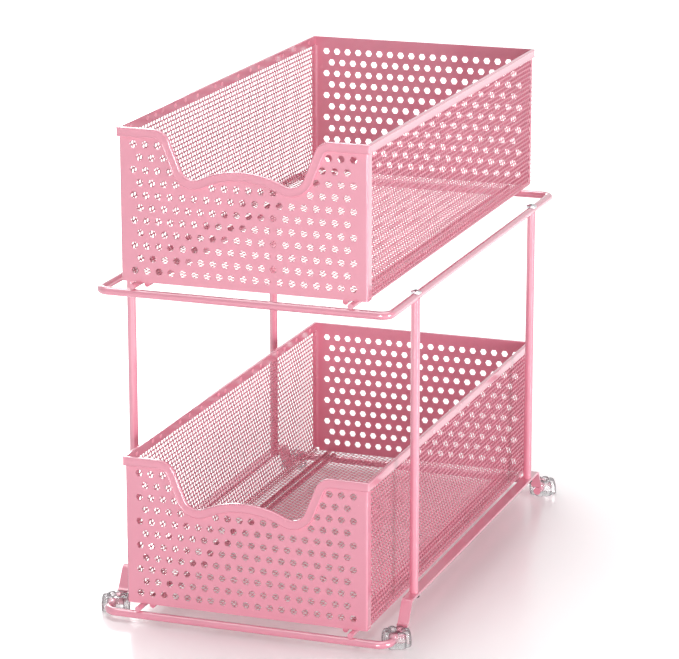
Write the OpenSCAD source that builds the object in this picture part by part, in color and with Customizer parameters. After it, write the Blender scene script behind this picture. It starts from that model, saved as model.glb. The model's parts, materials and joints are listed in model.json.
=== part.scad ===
// Two-tier pull-out basket stand: a rod stand that carries two sliding baskets.
// Millimetres. X runs to the right, Y to the rear and Z up. The origin is on
// the floor under the middle of the stand, and the baskets pull out towards -Y.

/* [Stand] */
// Distance between the left and right post centre lines
post_span = 239.8; // [230:0.2:260]
// Distance between the front and rear rods of the upper loop, centre to centre
loop_depth = 442; // [430:1:480]
// Height of the upper loop's centre line
loop_height = 272.25; // [240:0.25:320]
// Bend radius of the upper loop's corners, at the centre line
loop_bend = 8; // [8:1:30]
// Diameter of the loop rod and the base rods
rod_d = 6.5; // [5:0.1:7]
// Height of the base rods' centre line
base_height = 6.85; // [6:0.05:9]
// Bend radius of the base rods' ends, at the centre line
base_bend = 10; // [8:1:14]
// Diameter of the posts
post_d = 7.2; // [6.8:0.1:9]
// Distance of the front posts in front of the middle
post_front = 156.4; // [120:0.2:165]
// Distance of the rear posts behind the middle
post_rear = 159.8; // [120:0.2:175]
// Diameter of the rails and the basket runners
rail_d = 4.6; // [4:0.1:5]

/* [Side brackets] */
// Width of the flat strip
strip_w = 8.8; // [8:0.1:12]
// Thickness of the flat strip
strip_t = 2; // [1.5:0.1:2.5]
// Height of the top face of the raised strip
strip_top = 29.5; // [24:0.5:32]
// Distance of the front bend in front of the middle
strip_front = 173; // [168:1:173]
// Distance of the rear bend behind the middle
strip_rear = 181; // [178:1:184]
// Radius of the strip's four bends, along the middle of its thickness
strip_bend = 4.5; // [2:0.5:4.5]

/* [Feet] */
// Diameter of a clear foot over its petals
foot_d = 24.5; // [22:0.5:25]
// Height of a clear foot
foot_h = 13; // [12:0.5:15]
// Number of petals on a foot
foot_petals = 8; // [6:1:10]
// Distance of the front feet in front of the middle
foot_front = 199; // [199:1:202]
// Distance of the rear feet behind the middle
foot_rear = 210; // [210:1:214]

/* [Baskets] */
// Width over the front and back panels
basket_w = 203.2; // [180:0.2:206]
// Depth over the front and back panels
basket_depth = 435.1; // [400:0.1:436]
// Height of a basket
basket_h = 122; // [110:1:140]
// How far the middle of a basket sits behind the middle of the stand
basket_back = 1.35; // [0:0.05:2]
// Corner radius of the front panels, seen from above
panel_corner = 1.5; // [1.2:0.1:3]
// Corner radius of the back panels, which stand between the mesh sides
back_corner = 3; // [3:0.5:6]
// Thickness of the perforated panels
panel_t = 0.8; // [0.6:0.1:1]
// How far the panels return along the sides
panel_return = 9; // [6:0.5:12]
// Thickness of the mesh sheet
mesh_t = 0.8; // [0.4:0.1:1]
// Bend radius of the mesh between side and floor
mesh_bend = 3; // [2:0.5:3.5]
// Openings of the mesh sheet along a basket
grid_along = 12; // [10:1:12]
// Openings across the floor of a basket
grid_across = 6; // [5:1:8]
// Openings up each side of a basket
grid_up = 3; // [3:1:5]
// Width of the bars between the openings
grid_bar = 8; // [4:0.5:10]
// Height of the rim
rim_h = 7.5; // [6:0.5:10]
// Thickness of the rim
rim_t = 2.8; // [2.8:0.1:4]
// How far the rim stands proud of the panels
rim_proud = 2; // [1:0.1:2.2]
// Radius of the rim's outer corners, seen from above
rim_corner = 1.5; // [1.5:0.1:4]

/* [Perforation] */
// Pitch of the holes and of their rows
hole_pitch = 10; // [9:0.5:14]
// Width of the hexagonal holes over their corners
hole_d = 6.2; // [4:0.1:7]
// Distance from the top of the rim to the first row of holes
hole_top = 12.9; // [12:0.1:14]
// Least distance from the bottom edge to the last row of holes
hole_bottom = 8; // [6:0.5:12]

/* [Scoop] */
// Distance of the two low points of the scoop from the middle
scoop_low_x = 39.5; // [36:0.5:42]
// Height of the low points above the panel's bottom edge
scoop_low_z = 84.5; // [70:0.5:86]
// Height of the hump between the low points
scoop_hump_z = 93.5; // [88:0.5:94]
// Radius of the scoop at its low points
scoop_low_r = 12; // [8:0.5:14]
// Radius where the scoop runs into the straight rim
scoop_top_r = 14; // [10:0.5:16]
// Slope of the scoop's sides, in degrees
scoop_slope = 68; // [60:1:72]

/* [Screws] */
// Diameter of a screw head
screw_head_d = 9; // [7:0.1:10]
// Height of a screw head
screw_head_h = 2.8; // [2:0.1:3.2]
// Diameter of a screw shank
screw_shank_d = 3.4; // [3:0.1:4]
// How far a screw runs into its post
screw_grip = 9; // [6:0.5:14]

/* [Hidden] */
$fn = 64;
slide_gap = 0.3;
screw_gap = 0.05;
weld_gap = 0.1;
screw_flat = 0.8;
post_cope = 2;
recess_w = 1.2;
recess_l = 4.6;
recess_depth = 1.4;
rail_overrun = 2.5;
runner_setback = 4.2;
leg_run = 10;
tab_run = 3;
petal_notch_d = 4.4;
foot_base_inset = 0.8;
foot_top_r = 7.4;
foot_dish = 1;

// Heights of the two tiers: the bottom edges of the baskets
tier_rise = rod_d / 2 + rail_d + slide_gap;
upper_z = loop_height + tier_rise;
lower_z = base_height + tier_rise;
rail_rise = rod_d / 2 + rail_d / 2;
post_x = post_span / 2;
rail_x = basket_w / 2 - 11.6;
runner_x = basket_w / 2 - 19.6;

// Panels: the flat stretch between the corner bends and the hole pattern on it
flat_half = basket_w / 2 - panel_corner;
back_w = basket_w - 2 * mesh_t;
panel_top = basket_h - rim_h;
odd_columns = 2 * floor((flat_half - hole_d / 2) / hole_pitch) + 1;
hole_rows = floor((basket_h - hole_top - hole_bottom) / hole_pitch) + 1;
// A hole that the rim would cover by more than this share of its radius is left out
hole_keep = 0.65;

// Scoop: a hump arc, two low arcs, two sloping sides and two top arcs, all tangent
scoop_low_c = [scoop_low_x, scoop_low_z + scoop_low_r];
hump_r = (pow(scoop_low_x, 2) + pow(scoop_low_c[1] - scoop_hump_z, 2) - pow(scoop_low_r, 2))
    / (2 * (scoop_low_r - scoop_low_c[1] + scoop_hump_z));
hump_c = [0, scoop_hump_z - hump_r];
hump_turn = asin(scoop_low_x / (hump_r + scoop_low_r));
side_start = scoop_low_c + scoop_low_r * [sin(scoop_slope), -cos(scoop_slope)];
side_end_z = basket_h - scoop_top_r * (1 - cos(scoop_slope));
scoop_end_x = side_start[0] + (side_end_z - side_start[1]) / tan(scoop_slope)
    + scoop_top_r * sin(scoop_slope);
// Rounded to a thousandth, so that the rim's straight and scooped stretches meet exactly
scoop_top_c = [round(1000 * scoop_end_x) / 1000, basket_h - scoop_top_r];

// Points of an arc from angle a to angle b, both ends included
function arc(c, r, a, b, n) = [
    for (i = [0 : n]) c + r * [cos(a + (b - a) * i / n), sin(a + (b - a) * i / n)]
];
function flip(points) = [for (i = [len(points) - 1 : -1 : 0]) [-points[i][0], points[i][1]]];
function reverse(points) = [for (i = [len(points) - 1 : -1 : 0]) points[i]];

// Right half of the scoop's edge, moved down into the panel by the distance d
function half_scoop(d) = concat(
    arc(hump_c, hump_r - d, 90, 90 - hump_turn, 8),
    arc(scoop_low_c, scoop_low_r + d, 270 - hump_turn, 270 + scoop_slope, 16),
    arc(scoop_top_c, scoop_top_r - d, 90 + scoop_slope, 90, 12)
);
function rest(points) = [for (i = [1 : len(points) - 1]) points[i]];
// The whole edge from left to right
function scoop_edge(d) = concat(flip(half_scoop(d)), rest(half_scoop(d)));
function gap_to(points, p) = min([for (q = points) norm(q - p)]);
function hole_fits(p, edge) =
    p[1] < lookup(p[0], edge) && gap_to(edge, p) > hole_keep * hole_d / 2;

module rounded_rect(w, l, r) {
    square([w - 2 * r, l], center = true);
    square([w, l - 2 * r], center = true);
    for (x = [-1, 1], y = [-1, 1])
        translate([x * (w / 2 - r), y * (l / 2 - r)]) circle(r);
}

module rod_x(d, l) {
    rotate([0, 90, 0]) cylinder(d = d, h = l, center = true);
}

module rod_y(d, from, to) {
    translate([0, from, 0]) rotate([-90, 0, 0]) cylinder(d = d, h = to - from);
}

// A quarter bend of rod whose arc starts at the given angle
module rod_bend(d, r, start) {
    rotate([0, 0, start]) rotate_extrude(angle = 90) translate([r, 0]) circle(d = d);
}

// ---- Stand ----

// Places a copy of its child on each post's axis
module at_posts() {
    for (x = [-post_x, post_x], y = [-post_front, post_rear])
        translate([x, y, 0]) children();
}

module loop_rod() {
    straight_x = post_span - 2 * loop_bend;
    half_y = loop_depth / 2 - loop_bend;
    translate([0, 0, loop_height]) {
        for (s = [-1, 1]) {
            translate([0, s * loop_depth / 2, 0]) rod_x(rod_d, straight_x);
            translate([s * post_x, 0, 0]) rod_y(rod_d, -half_y, half_y);
        }
        for (q = [0 : 3]) {
            x = (q == 0 || q == 3) ? 1 : -1;
            y = q < 2 ? 1 : -1;
            translate([x * straight_x / 2, y * half_y, 0]) rod_bend(rod_d, loop_bend, 90 * q);
        }
    }
}

module upper_loop() {
    seat = loop_height + rod_d / 2 - screw_flat;
    color("lightpink") difference() {
        loop_rod();
        at_posts() {
            translate([0, 0, seat]) cylinder(d = screw_head_d + 1, h = rod_d);
            translate([0, 0, loop_height - rod_d])
                cylinder(d = screw_shank_d + 2 * screw_gap, h = 2 * rod_d);
        }
    }
}

module rail(side, z) {
    half = loop_depth / 2 + rail_overrun;
    color("lightpink") translate([side * rail_x, 0, z + rail_rise]) rod_y(rail_d, -half, half);
}

module post(side, y) {
    top = loop_height - rod_d / 2 + post_cope;
    color("pink") translate([side * post_x, y, 0]) difference() {
        translate([0, 0, strip_top]) cylinder(d = post_d, h = top - strip_top);
        translate([0, 0, loop_height]) rod_y(rod_d, -post_d, post_d);
        for (z = [strip_top, top])
            translate([0, 0, z])
                cylinder(d = screw_shank_d + 2 * screw_gap, h = 2 * (screw_grip + post_cope), center = true);
    }
}

function unit(v) = v / norm(v);
// The arc of radius r that rounds the corner at p, on the way from a to b
function rounded(a, p, b, r) = let (
    u = unit(a - p),
    v = unit(b - p),
    half = acos(u * v) / 2,
    c = p + unit(u + v) * r / sin(half),
    from = p + u * r / tan(half) - c,
    start = atan2(from[1], from[0])
) arc(c, r, start, start + sign(cross(v, u)) * (180 - 2 * half), 6);
// Side view of the strip from front to rear, along the middle of its thickness
function strip_corners() = let (
    low = base_height + rod_d / 2 + strip_t / 2,
    high = strip_top - strip_t / 2
) [
    [-strip_front - leg_run - tab_run, low], [-strip_front - leg_run, low],
    [-strip_front, high], [strip_rear, high],
    [strip_rear + leg_run, low], [strip_rear + leg_run + tab_run, low]
];
function strip_path() = let (p = strip_corners(), last = len(p) - 1) concat(
    [p[0]],
    [for (i = [1 : last - 1]) each rounded(p[i - 1], p[i], p[i + 1], strip_bend)],
    [p[last]]
);
function left_of(v) = [-v[1], v[0]];
// Corner i of a path moved sideways by d, mitred between its two neighbours
function mitred(p, i, d) = let (
    a = left_of(unit(p[max(i, 1)] - p[max(i, 1) - 1])),
    b = left_of(unit(p[min(i, len(p) - 2) + 1] - p[min(i, len(p) - 2)])),
    m = unit(a + b)
) p[i] + m * d / (m * a);
function band(p, t) = concat(
    [for (i = [0 : len(p) - 1]) mitred(p, i, t / 2)],
    [for (i = [len(p) - 1 : -1 : 0]) mitred(p, i, -t / 2)]
);

module side_bracket(side) {
    color("pink") difference() {
        translate([side * post_x - strip_w / 2, 0, 0])
            rotate([90, 0, 90]) linear_extrude(strip_w) polygon(band(strip_path(), strip_t));
        at_posts() translate([0, 0, strip_top - strip_t - 1])
            cylinder(d = screw_shank_d + 2 * screw_gap, h = strip_t + 2);
    }
}

// A base rod along the front, with both ends bent back past the feet
module base_rod_shape(d, back_to) {
    bend_y = base_bend - loop_depth / 2;
    straight = post_span - 2 * base_bend;
    translate([0, 0, base_height]) {
        translate([0, -loop_depth / 2, 0]) rod_x(d, straight);
        for (s = [-1, 1]) {
            translate([s * straight / 2, bend_y, 0]) rod_bend(d, base_bend, s > 0 ? 270 : 180);
            translate([s * post_x, 0, 0]) rod_y(d, bend_y, -back_to);
        }
    }
}

module base_rod_front() {
    color("lightpink") base_rod_shape(rod_d, strip_front + leg_run + 1);
}

module base_rod_rear() {
    color("lightpink") mirror([0, 1, 0]) base_rod_shape(rod_d, strip_rear + leg_run + 1);
}

// A pan-head screw pointing down, with the underside of its head at z = 0
module screw(grip) {
    difference() {
        union() {
            rotate_extrude() intersection() {
                translate([0, screw_head_h - screw_head_d]) circle(r = screw_head_d);
                square([screw_head_d / 2, screw_head_h]);
            }
            translate([0, 0, -grip]) cylinder(d = screw_shank_d, h = grip + 1);
        }
        for (turn = [0, 90])
            rotate([0, 0, turn]) translate([-recess_l / 2, -recess_w / 2, screw_head_h - recess_depth])
                cube([recess_l, recess_w, recess_depth + 1]);
    }
}

module top_screws() {
    color("silver") at_posts() translate([0, 0, loop_height + rod_d / 2 - screw_flat])
        screw(rod_d - screw_flat + screw_grip);
}

module base_screws() {
    color("silver") at_posts() translate([0, 0, strip_top - strip_t])
        mirror([0, 0, 1]) screw(strip_t + screw_grip);
}

// Half of a foot's outline: a flat base, a straight side, a round shoulder and a dished top
module foot_profile() {
    r = foot_d / 2;
    shoulder = r - foot_top_r;
    polygon(concat(
        [[0, 0], [r - foot_base_inset, 0], [r, foot_h / 4]],
        arc([foot_top_r, foot_h - shoulder], shoulder, 0, 90, 6),
        [[0, foot_h - foot_dish]]
    ));
}

module foot(side, y) {
    color("whitesmoke", 0.6) difference() {
        translate([side * post_x, y, 0]) difference() {
            rotate_extrude() foot_profile();
            for (i = [0 : foot_petals - 1])
                rotate([0, 0, (i + 0.5) * 360 / foot_petals])
                    translate([foot_d / 2 + petal_notch_d / 6, 0, -1])
                        cylinder(d = petal_notch_d, h = foot_h + 2);
        }
        mirror([0, y > 0 ? 1 : 0, 0]) base_rod_shape(rod_d + 2 * weld_gap, strip_front);
    }
}

// ---- Baskets ----

module at_tier(z) {
    translate([0, basket_back, z]) children();
}

module plate_with_holes(half, top_edge) {
    difference() {
        polygon(concat([[-half, 0]], top_edge, [[half, 0]]));
        for (row = [0 : hole_rows - 1]) {
            columns = odd_columns - row % 2;
            for (column = [0 : columns - 1]) {
                p = [(column - (columns - 1) / 2) * hole_pitch, basket_h - hole_top - row * hole_pitch];
                if (hole_fits(p, top_edge)) translate(p) circle(d = hole_d, $fn = 6);
            }
        }
    }
}

// A front panel: the plate, its two corner bends and its returns along the sides, which
// start at the height low
module panel(w, corner, low, top_edge) {
    half = w / 2 - corner;
    translate([0, panel_t - basket_depth / 2, 0])
        rotate([90, 0, 0]) linear_extrude(panel_t) plate_with_holes(half, top_edge);
    translate([0, 0, low]) linear_extrude(panel_top - low) intersection() {
        difference() {
            rounded_rect(w, basket_depth, corner);
            rounded_rect(w - 2 * panel_t, basket_depth - 2 * panel_t, corner - panel_t);
        }
        for (s = [-1, 1])
            translate([s > 0 ? half : -w, -basket_depth / 2]) square([w - half, panel_return]);
    }
}

function straight_edge(half) = [for (x = [-half : half / 40 : half + 0.01]) [x, panel_top]];
function front_edge() = concat([[-flat_half, panel_top]], scoop_edge(rim_h), [[flat_half, panel_top]]);

module front_panel(z) {
    color("pink") at_tier(z) panel(basket_w, panel_corner, 0, front_edge());
}

module back_panel(z) {
    edge = straight_edge(back_w / 2 - back_corner);
    color("pink") at_tier(z) mirror([0, 1, 0]) panel(back_w, back_corner, mesh_bend, edge);
}

// A grid of openings over a field about the origin, with half a bar left at its edges
module grid_openings(field, across, up) {
    pitch = [field[0] / across, field[1] / up];
    for (i = [0 : across - 1], j = [0 : up - 1])
        translate([(i - (across - 1) / 2) * pitch[0], (j - (up - 1) / 2) * pitch[1]])
            square([pitch[0] - grid_bar, pitch[1] - grid_bar], center = true);
}

// The sheet of mesh: its floor reaches both panels, and its bent-up sides run in one plane with
// the front panel's returns, from their end to the rear
module mesh_tray(z) {
    floor_w = basket_w - 2 * mesh_bend;
    floor_l = basket_depth - 2 * panel_t;
    side = [basket_depth - panel_return, panel_top - mesh_bend];
    color("palevioletred") at_tier(z) {
        linear_extrude(mesh_t) difference() {
            union() {
                square([floor_w, floor_l], center = true);
                translate([panel_t - basket_w / 2, -floor_l / 2])
                    square([basket_w - 2 * panel_t, panel_return - panel_t]);
            }
            grid_openings([floor_w, floor_l], grid_across, grid_along);
        }
        translate([0, panel_return / 2, 0]) for (s = [-1, 1]) {
            translate([s * (basket_w - mesh_t) / 2 - mesh_t / 2, 0, (panel_top + mesh_bend) / 2])
                rotate([90, 0, 90]) linear_extrude(mesh_t) difference() {
                    square(side, center = true);
                    grid_openings(side, grid_along, grid_up);
                }
            translate([s * floor_w / 2, side[0] / 2, mesh_bend]) rotate([90, 0, 0])
                linear_extrude(side[0]) intersection() {
                    difference() {
                        circle(mesh_bend);
                        circle(mesh_bend - mesh_t);
                    }
                    translate([s * mesh_bend / 2, -mesh_bend / 2]) square(mesh_bend, center = true);
                }
        }
    }
}

// The rim runs round the top and follows the scoop across the front
module rim(z) {
    inner = rim_t - rim_proud;
    front = -basket_depth / 2 - rim_proud;
    color("hotpink") at_tier(z) {
        difference() {
            translate([0, 0, panel_top]) linear_extrude(rim_h) difference() {
                rounded_rect(basket_w + 2 * rim_proud, basket_depth + 2 * rim_proud, rim_corner);
                square([basket_w - 2 * inner, basket_depth - 2 * inner], center = true);
            }
            translate([-scoop_top_c[0], front - 1, panel_top - 1])
                cube([2 * scoop_top_c[0], rim_t + 2, rim_h + 2]);
        }
        translate([0, front + rim_t, 0]) rotate([90, 0, 0]) linear_extrude(rim_t)
            polygon(concat(scoop_edge(0), reverse(scoop_edge(rim_h))));
    }
}

module runner(side, z) {
    half = basket_depth / 2 - runner_setback;
    color("lightpink") at_tier(z) translate([side * runner_x, 0, -rail_d / 2]) rod_y(rail_d, -half, half);
}

upper_loop();
rail(-1, loop_height);  // upper_rail_left
rail(1, loop_height);  // upper_rail_right
post(-1, -post_front);  // post_front_left
post(1, -post_front);  // post_front_right
post(-1, post_rear);  // post_rear_left
post(1, post_rear);  // post_rear_right
side_bracket(-1);  // side_bracket_left
side_bracket(1);  // side_bracket_right
base_rod_front();
base_rod_rear();
rail(-1, base_height);  // lower_rail_left
rail(1, base_height);  // lower_rail_right
top_screws();
base_screws();
foot(-1, -foot_front);  // foot_front_left
foot(1, -foot_front);  // foot_front_right
foot(-1, foot_rear);  // foot_rear_left
foot(1, foot_rear);  // foot_rear_right
front_panel(upper_z);  // upper_front_panel
back_panel(upper_z);  // upper_back_panel
mesh_tray(upper_z);  // upper_mesh_tray
rim(upper_z);  // upper_rim
runner(-1, upper_z);  // upper_runner_left
runner(1, upper_z);  // upper_runner_right
front_panel(lower_z);  // lower_front_panel
back_panel(lower_z);  // lower_back_panel
mesh_tray(lower_z);  // lower_mesh_tray
rim(lower_z);  // lower_rim
runner(-1, lower_z);  // lower_runner_left
runner(1, lower_z);  // lower_runner_right
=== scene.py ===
"""Looks of a two-tier pull-out basket stand: gloss pink powder coat, steel net, clear feet.

Metres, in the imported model's frame: +X to the right, +Y to the rear, +Z up. Sizes are written
in millimetres where they repeat the part's own driving values.
"""
import json
import math

import bmesh
import bpy
from mathutils import Matrix, Vector


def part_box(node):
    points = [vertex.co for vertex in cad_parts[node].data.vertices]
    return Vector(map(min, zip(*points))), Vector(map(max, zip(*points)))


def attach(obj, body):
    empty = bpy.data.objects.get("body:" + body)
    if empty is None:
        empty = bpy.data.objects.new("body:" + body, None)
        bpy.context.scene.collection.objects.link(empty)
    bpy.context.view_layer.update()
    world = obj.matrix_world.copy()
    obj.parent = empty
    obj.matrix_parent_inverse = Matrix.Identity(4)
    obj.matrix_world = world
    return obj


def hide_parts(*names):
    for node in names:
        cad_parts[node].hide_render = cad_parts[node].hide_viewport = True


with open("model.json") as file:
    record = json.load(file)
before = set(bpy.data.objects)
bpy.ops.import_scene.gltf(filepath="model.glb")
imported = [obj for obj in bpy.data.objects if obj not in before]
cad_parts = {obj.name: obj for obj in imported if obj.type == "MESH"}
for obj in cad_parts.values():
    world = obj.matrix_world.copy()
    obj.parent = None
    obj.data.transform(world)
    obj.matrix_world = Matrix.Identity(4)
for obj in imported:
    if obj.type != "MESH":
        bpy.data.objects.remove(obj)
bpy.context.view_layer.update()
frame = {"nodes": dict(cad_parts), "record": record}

MM = 0.001
TIERS = ("upper", "lower")

# ---- Camera ----

IMAGE_WIDTH = 679
SENSOR_WIDTH = 36
FOCAL_PIXELS = 3136.5
CAMERA_AT = (0.8614, -2.3884, 0.8797)
CAMERA_AZIMUTH = 19.814
CAMERA_TILT = 74.908
CAMERA_ROLL = -0.037


def add_camera():
    data = bpy.data.cameras.new("camera")
    data.sensor_width = SENSOR_WIDTH
    data.lens = FOCAL_PIXELS / IMAGE_WIDTH * SENSOR_WIDTH
    data.clip_start = 0.05
    data.clip_end = 50
    camera = bpy.data.objects.new("camera", data)
    turn = Matrix.Rotation(math.radians(CAMERA_AZIMUTH), 4, "Z")
    tilt = Matrix.Rotation(math.radians(CAMERA_TILT), 4, "X")
    roll = Matrix.Rotation(math.radians(CAMERA_ROLL), 4, "Z")
    camera.matrix_world = Matrix.Translation(CAMERA_AT) @ turn @ tilt @ roll
    bpy.context.scene.collection.objects.link(camera)
    bpy.context.scene.camera = camera


# ---- Materials ----

# The range in which nearly all of a noise lies
NOISE_LOW, NOISE_HIGH = 0.3, 0.7
# Powder coat: scales of its noises, for tone, speckle, orange peel and the grain on that, and how
# far its tone and roughness stray
TONE_SCALE, SPECKLE_SCALE, PEEL_SCALE, GRAIN_SCALE = 14, 55, 420, 1900
TONE_STRAY, ROUGHNESS_STRAY, GRAIN_SHARE = 0.02, 0.015, 0.25
# Scales of the noises for tone, roughness and bump of plated steel, and for the last two of plastic
STEEL_SCALES = (300, 700, 1500)
PLASTIC_SCALES = (400, 260)
FINE_BUMP = 0.00001
# Clear plastic from where it is seen face-on to where it is seen edge-on: its colour darkens
# towards the edges, painted shade for the dark outlines that refraction shows in clear beads
PLASTIC_EDGE_SHADE_STOPS = (
    (0.15, (0.96, 0.95, 0.96)),
    (0.4, (0.5, 0.46, 0.48)),
    (0.62, (0.03, 0.02, 0.03)),
)


class Shader:
    """A material with one Principled shader, and short calls for the nodes that feed it."""

    def __init__(self, name):
        self.material = bpy.data.materials.new(name)
        self.material.use_nodes = True
        self.nodes = self.material.node_tree.nodes
        self.links = self.material.node_tree.links
        self.surface = self.nodes["Principled BSDF"]
        self.place = self.nodes.new("ShaderNodeTexCoord").outputs["Object"]

    def set(self, **values):
        for name, value in values.items():
            self.surface.inputs[name.replace("_", " ")].default_value = value

    def noise(self, scale, detail):
        node = self.nodes.new("ShaderNodeTexNoise")
        node.inputs["Scale"].default_value = scale
        node.inputs["Detail"].default_value = detail
        self.links.new(self.place, node.inputs["Vector"])
        return node.outputs["Fac"]

    def spread(self, value, low, high):
        """A value from low to high across the middle range of a noise."""
        node = self.nodes.new("ShaderNodeMapRange")
        node.inputs["From Min"].default_value = NOISE_LOW
        node.inputs["From Max"].default_value = NOISE_HIGH
        node.inputs["To Min"].default_value = low
        node.inputs["To Max"].default_value = high
        self.links.new(value, node.inputs["Value"])
        return node.outputs["Result"]

    def tint(self, value, stops):
        """A colour ramp over value, with stops given as (position, colour)."""
        node = self.nodes.new("ShaderNodeValToRGB")
        ramp = node.color_ramp
        ramp.elements[0].position, ramp.elements[0].color = stops[0][0], (*stops[0][1], 1)
        ramp.elements[1].position, ramp.elements[1].color = stops[-1][0], (*stops[-1][1], 1)
        for position, colour in stops[1:-1]:
            ramp.elements.new(position).color = (*colour, 1)
        self.links.new(value, node.inputs["Fac"])
        return node.outputs["Color"]

    def bump(self, height, distance, before=None):
        node = self.nodes.new("ShaderNodeBump")
        node.inputs["Distance"].default_value = distance
        self.links.new(height, node.inputs["Height"])
        if before is not None:
            self.links.new(before, node.inputs["Normal"])
        return node.outputs["Normal"]

    def feed(self, socket, value):
        self.links.new(value, self.surface.inputs[socket])


def shade(colour, factor):
    return tuple(min(1.0, channel * factor) for channel in colour)


def powder_coat(name, colour, roughness, peel, coat=1.0):
    """Gloss powder coat: faint uneven tone, fine speckle and an orange-peel skin under a gloss."""
    shader = Shader(name)
    stops = (
        (NOISE_LOW, shade(colour, 1 - TONE_STRAY)),
        (0.5, colour),
        (NOISE_HIGH, shade(colour, 1 + TONE_STRAY)),
    )
    shader.feed("Base Color", shader.tint(shader.noise(TONE_SCALE, 3), stops))
    low, high = roughness - ROUGHNESS_STRAY, roughness + ROUGHNESS_STRAY
    shader.feed("Roughness", shader.spread(shader.noise(SPECKLE_SCALE, 4), low, high))
    ripple = shader.bump(shader.noise(PEEL_SCALE, 2), peel)
    grain = shader.noise(GRAIN_SCALE, 2)
    shader.feed("Normal", shader.bump(grain, peel * GRAIN_SHARE, before=ripple))
    shader.set(IOR=1.5, Coat_Weight=coat, Coat_IOR=1.8, Coat_Roughness=0.08)
    return shader.material


def plated_steel(name, dark, light):
    """Bright plating, faintly mottled between a dark and a light tone."""
    shader = Shader(name)
    shader.set(Metallic=1.0)
    tone, rough, bump = STEEL_SCALES
    stops = ((NOISE_LOW, dark), (NOISE_HIGH, light))
    shader.feed("Base Color", shader.tint(shader.noise(tone, 3), stops))
    shader.feed("Roughness", shader.spread(shader.noise(rough, 3), 0.08, 0.2))
    shader.feed("Normal", shader.bump(shader.noise(bump, 2), FINE_BUMP))
    return shader.material


def clear_plastic(name):
    """Clear plastic with painted shade: its colour darkens where it is seen edge-on, to draw dark
    outlines.
    """
    shader = Shader(name)
    shader.set(IOR=1.45, Transmission_Weight=0.85, Alpha=0.9)
    edge = shader.nodes.new("ShaderNodeLayerWeight")
    edge.inputs["Blend"].default_value = 0.5
    rough, bump = PLASTIC_SCALES
    shader.feed("Base Color", shader.tint(edge.outputs["Facing"], PLASTIC_EDGE_SHADE_STOPS))
    shader.feed("Roughness", shader.spread(shader.noise(rough, 3), 0.01, 0.05))
    shader.feed("Normal", shader.bump(shader.noise(bump, 2), FINE_BUMP))
    return shader.material


PINK = (0.83, 0.28, 0.385)
MATERIALS = {
    "stand_enamel": powder_coat("stand powder coat", PINK, 0.22, 0.000008),
    "panel_enamel": powder_coat("panel powder coat", PINK, 0.26, 0.000006),
    "mesh_enamel": powder_coat("net powder coat", PINK, 0.3, 0.000005, coat=0.3),
    "screw_steel": plated_steel("plated steel", (0.46, 0.46, 0.48), (0.66, 0.66, 0.68)),
    "foot_clear": clear_plastic("clear plastic"),
}
# The weld marks' lighter pink is a painted highlight, for the light that their low domes catch
WELD_HIGHLIGHT = powder_coat("weld marks with painted highlight", shade(PINK, 1.25), 0.35, 0.00003)
# A darker copy of the plated steel: painted shade for the base screws, which face down into shadow
SHADED_STEEL = plated_steel("plated steel in painted shade", (0.05, 0.05, 0.05), (0.12, 0.12, 0.12))


def dress(piece, slot):
    """Gives a new piece the material of the record's slot that it stands for."""
    piece.data.materials.append(MATERIALS[slot])


def dress_nodes():
    """Every CAD node wears the material of its slot in the record; the base screws a darker copy of
    it, painted shade for the shadow and dark reflections they sit in.
    """
    for part in frame["record"]["subparts"]:
        node = frame["nodes"][part["node"]]
        material = SHADED_STEEL if part["node"] == "base_screws" else MATERIALS[part["material_slot"]]
        if not node.material_slots:
            node.data.materials.append(material)
        for slot in node.material_slots:
            slot.material = material


def soften(nodes, width):
    """Rounds the sharp edges of sheet-metal nodes, so that they catch the light."""
    for name in nodes:
        bevel = frame["nodes"][name].modifiers.new("soft edges", "BEVEL")
        bevel.width = width
        bevel.segments = 3
        bevel.limit_method = "ANGLE"
        bevel.angle_limit = math.radians(40)
        bevel.harden_normals = True


# ---- Mesh helpers ----

# Points nearer than this are one point
MERGE_WITHIN = 0.000001


def mesh_piece(name, vertices, faces, smooth=True):
    mesh = bpy.data.meshes.new(name)
    mesh.from_pydata(vertices, [], faces)
    mesh.polygons.foreach_set("use_smooth", [smooth] * len(mesh.polygons))
    mesh.update()
    piece = bpy.data.objects.new(name, mesh)
    bpy.context.scene.collection.objects.link(piece)
    return piece


def merge_doubles(piece):
    """Merges points that lie on each other, and drops the faces that this leaves without area."""
    shape = bmesh.new()
    shape.from_mesh(piece.data)
    bmesh.ops.remove_doubles(shape, verts=shape.verts, dist=MERGE_WITHIN)
    bmesh.ops.recalc_face_normals(shape, faces=shape.faces)
    shape.to_mesh(piece.data)
    shape.free()


def add_rings(faces, first, rings, sides, closed):
    """Quads between rings of vertices that follow each other, all with as many sides."""
    for i in range(rings if closed else rings - 1):
        a = first + i * sides
        b = first + (i + 1) % rings * sides
        for k in range(sides):
            n = (k + 1) % sides
            faces.append((a + k, b + k, b + n, a + n))


# ---- Basket forms: the driving values of the part, in millimetres ----

BASKET_W, BASKET_DEPTH, BASKET_H = 203.2, 435.1, 122
PANEL_T, PANEL_RETURN = 0.8, 9
RIM_H, RIM_T, RIM_PROUD, RIM_CORNER = 7.5, 2.8, 2, 1.5
MESH_T, MESH_BEND = 0.5, 3
LOW_X, LOW_Z, HUMP_Z, LOW_R, TOP_R, SLOPE = 39.5, 84.5, 93.5, 12, 14, 68

# Roundings of the rim's edges, outside and inside, and the depth of the shallow groove round its
# outside
RIM_ROUND, RIM_INNER_ROUND, RIM_GROOVE = 1.1, 0.3, 0.35
# Steps of a quarter turn, round an edge of the rim and round a corner of the basket
EDGE_ROUND_STEPS, CORNER_STEPS = 4, 8
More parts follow.
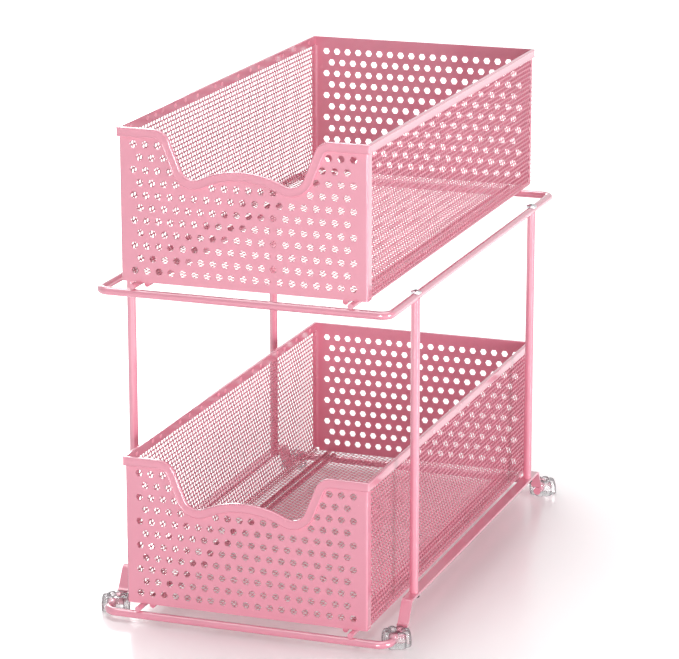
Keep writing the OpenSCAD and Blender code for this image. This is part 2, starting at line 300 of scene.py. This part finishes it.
# Weld marks inside the rim: their number on a side, mean pitch, stray and half sizes
WELDS, WELD_PITCH, WELD_STRAY, WELD_SIZE = 15, 28, 7, (2.7, 1.8, 0.4)
# A weld's dome: its sides, and its rings as (share of its half sizes, share of its rise)
DOME_SIDES, DOME_RINGS = 12, ((1.0, -0.3), (0.9, 0.35), (0.55, 0.85))

PANEL_TOP = BASKET_H - RIM_H


def polar(centre, radius, degrees):
    a = math.radians(degrees)
    return centre[0] + radius * math.cos(a), centre[1] + radius * math.sin(a)


def scoop_half():
    """The right half of the scoop's edge: (x, z, up_x, up_z), where up points out of the panel.
    Its arcs are (centre, radius, first and last angle, steps, 1 for a crest or -1 for a hollow)."""
    low_c = (LOW_X, LOW_Z + LOW_R)
    hump_r = (LOW_X**2 + (low_c[1] - HUMP_Z) ** 2 - LOW_R**2) / (2 * (LOW_R - low_c[1] + HUMP_Z))
    hump_c = (0, HUMP_Z - hump_r)
    hump_turn = math.degrees(math.asin(LOW_X / (hump_r + LOW_R)))
    start_x, start_z = polar(low_c, LOW_R, 270 + SLOPE)
    slope = math.radians(SLOPE)
    end_z = BASKET_H - TOP_R * (1 - math.cos(slope))
    top_x = start_x + (end_z - start_z) / math.tan(slope) + TOP_R * math.sin(slope)
    arcs = (
        (hump_c, hump_r, 90, 90 - hump_turn, 12, 1),
        (low_c, LOW_R, 270 - hump_turn, 270 + SLOPE, 20, -1),
        ((top_x, BASKET_H - TOP_R), TOP_R, 90 + SLOPE, 90, 14, 1),
    )
    edge = []
    for centre, radius, start, end, steps, side in arcs:
        for i in range(steps + 1):
            angle = start + (end - start) * i / steps
            up = polar((0, 0), side, angle)
            edge.append((*polar(centre, radius, angle), *up))
    return edge


def scoop_path():
    """The rim's top edge across the scoop, from left to right, as (place, upward)."""
    half = scoop_half()
    edge = [(-x, z, -ux, uz) for x, z, ux, uz in reversed(half[1:])] + half
    return [(Vector((x, -BASKET_DEPTH / 2, z)), Vector((ux, 0, uz))) for x, z, ux, uz in edge]


def rim_section():
    """The rim's cross section: (outward, upward), a bar with round edges, flush with the sheets
    inside it."""
    corners = (
        (RIM_PROUD, 0, 0, RIM_ROUND),
        (RIM_PROUD - RIM_T, 0, 90, RIM_INNER_ROUND),
        (RIM_PROUD - RIM_T, -RIM_H, 180, 0),
        (RIM_PROUD, -RIM_H, 270, RIM_ROUND),
    )
    section = []
    for x, z, start, radius in corners:
        centre_x = x - radius if x > 0 else x + radius
        centre_z = z - radius if z == 0 else z + radius
        for i in range(EDGE_ROUND_STEPS + 1 if radius else 1):
            section.append(polar((centre_x, centre_z), radius, start + 90 / EDGE_ROUND_STEPS * i))
    edge = RIM_ROUND + RIM_GROOVE
    section += [(RIM_PROUD - RIM_GROOVE, edge - RIM_H), (RIM_PROUD - RIM_GROOVE, -edge)]
    return section


def basket_origin(tier):
    """The middle of a basket at the bottom edge of its panels."""
    low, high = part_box(tier + "_rim")
    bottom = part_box(tier + "_front_panel")[0].z
    return Vector(((low.x + high.x) / 2, (low.y + high.y) / 2, bottom))


def rim_rings(section):
    """Once round the rim, one ring of points per step, in the basket's own millimetres. The outside
    of a corner is round and its inside is square."""
    front = Vector((0, -1, 0))
    rings = [[place + front * o + up * u for o, u in section] for place, up in scoop_path()]
    for quarter, (sx, sy) in enumerate(((1, -1), (1, 1), (-1, 1), (-1, -1))):
        corner = Vector((sx * BASKET_W / 2, sy * BASKET_DEPTH / 2, BASKET_H))
        inward = Vector((-sx, -sy, 0))
        middle = corner + inward * (RIM_CORNER - RIM_PROUD)
        for i in range(CORNER_STEPS + 1):
            angle = math.radians(90 * (quarter - 1) + 90 / CORNER_STEPS * i)
            out = Vector((math.cos(angle), math.sin(angle), 0))
            ring = []
            for o, u in section:
                reach = o + RIM_CORNER - RIM_PROUD
                place = middle + (out * reach if reach > 0 else inward * -reach)
                ring.append(place + Vector((0, 0, u)))
            rings.append(ring)
    return rings


def add_dome(vertices, faces, centre, along, up, out, reach):
    """A shallow dome of half sizes reach on a face that looks towards out."""
    first = len(vertices)
    for spread, lift in DOME_RINGS:
        for k in range(DOME_SIDES):
            x, z = polar((0, 0), spread, 360 / DOME_SIDES * k)
            across = along * (x * reach[0]) + up * (z * reach[1])
            vertices.append(centre + across + out * (lift * reach[2]))
    add_rings(faces, first, len(DOME_RINGS), DOME_SIDES, closed=False)
    last = len(vertices) - DOME_SIDES
    faces.append(tuple(last + k for k in range(DOME_SIDES)))


def add_rim(tier):
    """The rim band of a basket, with the weld marks along the inside of both sides, painted a
    lighter pink as a highlight.
    """
    origin = basket_origin(tier)
    section = rim_section()
    rings = rim_rings(section)
    points = [point for ring in rings for point in ring]
    faces = []
    add_rings(faces, 0, len(rings), len(section), closed=True)
    rim_faces = len(faces)
    inner = BASKET_W / 2 + RIM_PROUD - RIM_T
    for side in (-1, 1):
        for i in range(WELDS):
            y = (i - (WELDS - 1) / 2) * WELD_PITCH + WELD_STRAY * math.sin(2.4 * i)
            z = BASKET_H - RIM_H * (0.5 + 0.06 * math.cos(3.7 * i))
            centre = Vector((side * inner, y, z))
            along, up, out = Vector((0, side, 0)), Vector((0, 0, 1)), Vector((-side, 0, 0))
            add_dome(points, faces, centre, along, up, out, WELD_SIZE)
    piece = mesh_piece(tier + "_rim_band", [origin + MM * p for p in points], faces)
    dress(piece, "panel_enamel")
    piece.data.materials.append(WELD_HIGHLIGHT)
    for polygon in piece.data.polygons[rim_faces:]:
        polygon.material_index = 1
    merge_doubles(piece)
    piece.data.set_sharp_from_angle(angle=math.radians(50))
    piece.modifiers.new("even shading", "WEIGHTED_NORMAL").keep_sharp = True
    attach(piece, tier + "_basket")
    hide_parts(tier + "_rim")


# ---- Net: zigzag strands from front to rear, tied by short ones in staggered columns ----

# Bands between strands, all round the sheet, and columns of ties from its middle to either end
NET_BANDS, NET_COLUMNS = 113, 80
# Width and thickness of the strands, on the walls and on the floor
WALL_STRAND, FLOOR_STRAND = (1.65, 0.95), (1.2, 0.65)
# How far a strand sways to each side
ZIGZAG = 0.35
STRAND_SIDES, TIE_SIDES = 4, 3
# The strand that edges the rear of each side: its width, and its steps along the flat and the bend
EDGE_W, EDGE_STEPS = 4.0, 6
# Straight strands that stiffen the folds, at these shares of the bend
FOLD_SHARES = (0.12, 0.85)

SIDE_L = PANEL_TOP - MESH_BEND
BEND_R = MESH_BEND - MESH_T / 2
BEND_L = BEND_R * math.pi / 2
FLOOR_W = BASKET_W - 2 * MESH_BEND
NET_L = 2 * SIDE_L + 2 * BEND_L + FLOOR_W
FLOOR_END = BASKET_DEPTH / 2 - PANEL_T
STEP_L = FLOOR_END / NET_COLUMNS


def net_profile(s):
    """A point on the bent sheet seen from the front, s along it from the top of the left side,
    as (x, z, along_x, along_z)."""
    mirrored = s > NET_L / 2
    if mirrored:
        s = NET_L - s
    wall_x = (BASKET_W - MESH_T) / 2
    if s < SIDE_L:
        x, z, ax, az = -wall_x, PANEL_TOP - s, 0, -1
    elif s < SIDE_L + BEND_L:
        angle = (s - SIDE_L) / BEND_R
        x = -wall_x + BEND_R * (1 - math.cos(angle))
        z = MESH_BEND - BEND_R * math.sin(angle)
        ax, az = math.sin(angle), -math.cos(angle)
    else:
        x, z, ax, az = s - SIDE_L - BEND_L - FLOOR_W / 2, MESH_T / 2, 1, 0
    return (-x, z, ax, -az) if mirrored else (x, z, ax, az)


def net_point(s, y):
    """A place on the net, with its directions along the sheet and out of it."""
    x, z, ax, az = net_profile(s)
    return Vector((x, y, z)), Vector((ax, 0, az)), Vector((az, 0, -ax))


def net_ends(s):
    """Where the strand at s starts and ends: a side strand runs from the front panel's return to
    the rear face of the basket, and a floor strand from panel to panel."""
    if abs(s - NET_L / 2) < FLOOR_W / 2:
        return -FLOOR_END, FLOOR_END
    return PANEL_RETURN - BASKET_DEPTH / 2, BASKET_DEPTH / 2


def add_net(tier):
    """The net of a basket: both sides and the floor, as one bent sheet."""
    vertices, faces = [], []
    origin = basket_origin(tier)

    def ring(place, across, out, sides, width=None):
        flat = abs(out.z)
        strand_w, thickness = (a + (b - a) * flat for a, b in zip(WALL_STRAND, FLOOR_STRAND))
        width = width or strand_w
        for k in range(sides):
            a = 2 * math.pi * k / sides
            offset = across * (width / 2 * math.cos(a)) + out * (thickness / 2 * math.sin(a))
            vertices.append(origin + MM * (place + offset))

    for band in range(NET_BANDS + 1):
        s = NET_L * band / NET_BANDS
        start, end = net_ends(s)
        clear = start + STEP_L / 3
        inside = [j for j in range(1, 2 * NET_COLUMNS) if j * STEP_L - FLOOR_END > clear]
        first = len(vertices)
        places = [(start, 0)]
        for j in inside:
            sway = ZIGZAG if (j + band) % 2 == 0 else -ZIGZAG
            places.append((j * STEP_L - FLOOR_END, sway if 0 < band < NET_BANDS else 0))
        places.append((end, 0))
        for y, sway in places:
            place, across, out = net_point(s + sway, y)
            ring(place, across, out, STRAND_SIDES)
        add_rings(faces, first, len(places), STRAND_SIDES, closed=False)
        last = len(vertices) - STRAND_SIDES
        faces.append(tuple(first + k for k in range(STRAND_SIDES)))
        faces.append(tuple(last + k for k in reversed(range(STRAND_SIDES))))
        if band == NET_BANDS:
            break
        s_next = NET_L * (band + 1) / NET_BANDS
        for j in inside:
            if (j + band) % 2:
                continue
            first = len(vertices)
            for at in (s + ZIGZAG, s_next - ZIGZAG):
                place, _, out = net_point(at, j * STEP_L - FLOOR_END)
                ring(place, Vector((0, 1, 0)), out, TIE_SIDES)
            add_rings(faces, first, 2, TIE_SIDES, closed=False)

    edge = [SIDE_L * i / EDGE_STEPS for i in range(EDGE_STEPS)]
    edge += [SIDE_L + BEND_L * i / EDGE_STEPS for i in range(EDGE_STEPS + 1)]
    for side in (edge, [NET_L - s for s in edge]):
        first = len(vertices)
        for s in side:
            place, _, out = net_point(s, (BASKET_DEPTH - EDGE_W) / 2)
            ring(place, Vector((0, 1, 0)), out, STRAND_SIDES, EDGE_W)
        add_rings(faces, first, len(side), STRAND_SIDES, closed=False)
    for share in FOLD_SHARES:
        for s in (SIDE_L + BEND_L * share, NET_L - SIDE_L - BEND_L * share):
            first = len(vertices)
            for y in (-FLOOR_END, FLOOR_END):
                place, across, out = net_point(s, y)
                ring(place, across, out, STRAND_SIDES)
            add_rings(faces, first, 2, STRAND_SIDES, closed=False)
    piece = mesh_piece(tier + "_net", vertices, faces)
    dress(piece, "mesh_enamel")
    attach(piece, tier + "_basket")
    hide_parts(tier + "_mesh_tray")


# ---- Clear feet ----

PETALS, PETAL_AT, PETAL_R = 8, 8.2, 4.05
PETAL_STEPS = 12
# The top of a foot between its petals, and how far the petals' domes rise above that
FOOT_TOP, PETAL_RISE = 10.6, 2.4
# Half of a foot's side view: (share of the outline, height, share of the petals' depth, share of
# the domes)
FOOT_VIEW = (
    (0.90, 0.0, 1, 0), (0.95, 0.2, 1, 0), (0.98, 0.7, 1, 0), (0.995, 1.6, 1, 0),
    (1.0, 3.5, 1, 0), (1.0, 6.0, 1, 0), (0.99, 7.8, 1, 0), (0.965, 9.2, 1, 0),
    (0.93, FOOT_TOP, 1, 0.3), (0.86, FOOT_TOP, 1, 1), (0.78, FOOT_TOP, 1, 1),
    (0.7, FOOT_TOP, 1, 1), (0.62, FOOT_TOP, 1, 1), (0.54, FOOT_TOP, 1, 1),
    (0.46, FOOT_TOP, 0.8, 1), (0.38, FOOT_TOP, 0.5, 1), (0.3, FOOT_TOP, 0, 0.5),
    (0.15, FOOT_TOP, 0, 0),
)


def add_foot(node):
    """A clear foot of eight round petals, each with a domed top."""
    low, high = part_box(node)
    centre = Vector(((low.x + high.x) / 2, (low.y + high.y) / 2, 0))
    sides = PETALS * PETAL_STEPS
    tip = PETAL_AT + PETAL_R
    vertices, faces = [], []
    for share, z, petal, domed in FOOT_VIEW:
        for k in range(sides):
            off = math.radians(((k % PETAL_STEPS) / PETAL_STEPS - 0.5) * 360 / PETALS)
            half_chord = math.sqrt(PETAL_R**2 - (PETAL_AT * math.sin(off)) ** 2)
            outline = PETAL_AT * math.cos(off) + half_chord
            radius = share * (tip + (outline - tip) * petal)
            x, y = polar((0, 0), radius, 360 * (k - PETAL_STEPS / 2) / sides)
            from_petal = math.hypot(radius * math.cos(off) - PETAL_AT, radius * math.sin(off))
            dome = math.sqrt(max(0, 1 - (from_petal / PETAL_R) ** 2))
            vertices.append(centre + MM * Vector((x, y, z + PETAL_RISE * dome * domed)))
    add_rings(faces, 0, len(FOOT_VIEW), sides, closed=False)
    faces.append(tuple(reversed(range(sides))))
    last = len(vertices) - sides
    faces.append(tuple(last + k for k in range(sides)))
    piece = mesh_piece(node + "_petals", vertices, faces)
    merge_doubles(piece)
    dress(piece, "foot_clear")
    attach(piece, "stand")
    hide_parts(node)


# ---- Stage ----

# The light of the world, and what the camera's eye adds to it, so that it reads as white
WORLD_LIGHT, WORLD_GLOW = 0.2, 0.8
# What the camera's eye adds to the floor, at distances from the middle in metres. To the sides a
# metre counts as GLOW_SQUEEZE metres. The glow is weaker under and beside the stand, which paints
# shade on the floor there, on top of its real shadow.
FLOOR_GLOW = ((0.2, (0.12, 0.12, 0.12)), (0.36, (0.36, 0.36, 0.36)), (1.0, (0.8, 0.8, 0.8)))
GLOW_SQUEEZE = 1.7
FLOOR_TONES = ((NOISE_LOW, (0.9, 0.89, 0.89)), (NOISE_HIGH, (0.93, 0.925, 0.925)))
FLOOR_REACH = 12.0

MIDDLE = (0, 0, 0.2)
# Round soft lamps, all turned to MIDDLE: name, place, size, power, and whether one is seen only
# in reflections
LAMPS = (
    ("overhead", (-0.5, 0.3, 2.4), 1.2, 24, False),
    ("front", (0.45, -2.7, 0.15), 1.0, 40, False),
    ("rear", (-1.6, 2.2, 0.9), 1.0, 16, False),
    ("right", (2.7, -0.7, 0.45), 1.0, 40, False),
    ("gloss", (0, -0.1, 2.6), 3.2, 54, True),
)


def seen_glow(nodes, links, base, glow):
    """A strength that is base for all rays, and base + glow for what the camera sees, directly or
    in gloss and clear plastic. The glow is a number or another node's output."""
    rays = nodes.new("ShaderNodeLightPath").outputs
    seen = rays["Is Camera Ray"]
    for kind in ("Is Glossy Ray", "Is Transmission Ray"):
        either = nodes.new("ShaderNodeMath")
        either.operation = "MAXIMUM"
        links.new(seen, either.inputs[0])
        links.new(rays[kind], either.inputs[1])
        seen = either.outputs[0]
    lift = nodes.new("ShaderNodeMath")
    lift.operation = "MULTIPLY_ADD"
    if isinstance(glow, float):
        lift.inputs[1].default_value = glow
    else:
        links.new(glow, lift.inputs[1])
    lift.inputs[2].default_value = base
    links.new(seen, lift.inputs[0])
    return lift.outputs[0]


def add_floor():
    """A pale floor under everything, with painted shade round the stand where its glow is weaker.
    """
    shader = Shader("pale floor")
    shader.feed("Base Color", shader.tint(shader.noise(2.5, 3), FLOOR_TONES))
    shader.feed("Roughness", shader.spread(shader.noise(6, 3), 0.2, 0.28))
    shader.set(Emission_Color=(1, 1, 1, 1))
    squeezed = shader.nodes.new("ShaderNodeVectorMath")
    squeezed.operation = "MULTIPLY"
    squeezed.inputs[1].default_value = (GLOW_SQUEEZE, 1, 1)
    shader.links.new(shader.place, squeezed.inputs[0])
    away = shader.nodes.new("ShaderNodeVectorMath")
    away.operation = "LENGTH"
    shader.links.new(squeezed.outputs["Vector"], away.inputs[0])
    glow = shader.tint(away.outputs["Value"], FLOOR_GLOW)
    shader.feed("Emission Strength", seen_glow(shader.nodes, shader.links, 0, glow))
    corners = [(-FLOOR_REACH, -FLOOR_REACH, 0), (FLOOR_REACH, -FLOOR_REACH, 0)]
    corners += [(FLOOR_REACH, FLOOR_REACH, 0), (-FLOOR_REACH, FLOOR_REACH, 0)]
    piece = mesh_piece("floor", corners, [(0, 1, 2, 3)], smooth=False)
    piece.data.materials.append(shader.material)


def add_world():
    """A plain white studio all round."""
    world = bpy.data.worlds.new("studio")
    world.use_nodes = True
    tree = world.node_tree
    background = tree.nodes["Background"]
    background.inputs["Color"].default_value = (1, 1, 1, 1)
    strength = seen_glow(tree.nodes, tree.links, WORLD_LIGHT, WORLD_GLOW)
    tree.links.new(strength, background.inputs["Strength"])
    bpy.context.scene.world = world


def add_lamp(name, place, size, power, gloss_only):
    """A round soft lamp that the camera doesn't see. A gloss-only one shows just in reflections."""
    data = bpy.data.lights.new(name, "AREA")
    data.shape = "DISK"
    data.size = size
    data.energy = power
    lamp = bpy.data.objects.new(name, data)
    lamp.location = place
    lamp.rotation_euler = (Vector(MIDDLE) - Vector(place)).to_track_quat("-Z", "Y").to_euler()
    lamp.visible_camera = False
    lamp.visible_diffuse = not gloss_only
    bpy.context.scene.collection.objects.link(lamp)


add_camera()
dress_nodes()
for tier in TIERS:
    add_rim(tier)
    add_net(tier)
for node in ("foot_front_left", "foot_front_right", "foot_rear_left", "foot_rear_right"):
    add_foot(node)
soften(("side_bracket_left", "side_bracket_right"), 0.0005)
add_floor()
add_world()
for lamp in LAMPS:
    add_lamp(*lamp)
bpy.context.scene.view_settings.view_transform = "Standard"
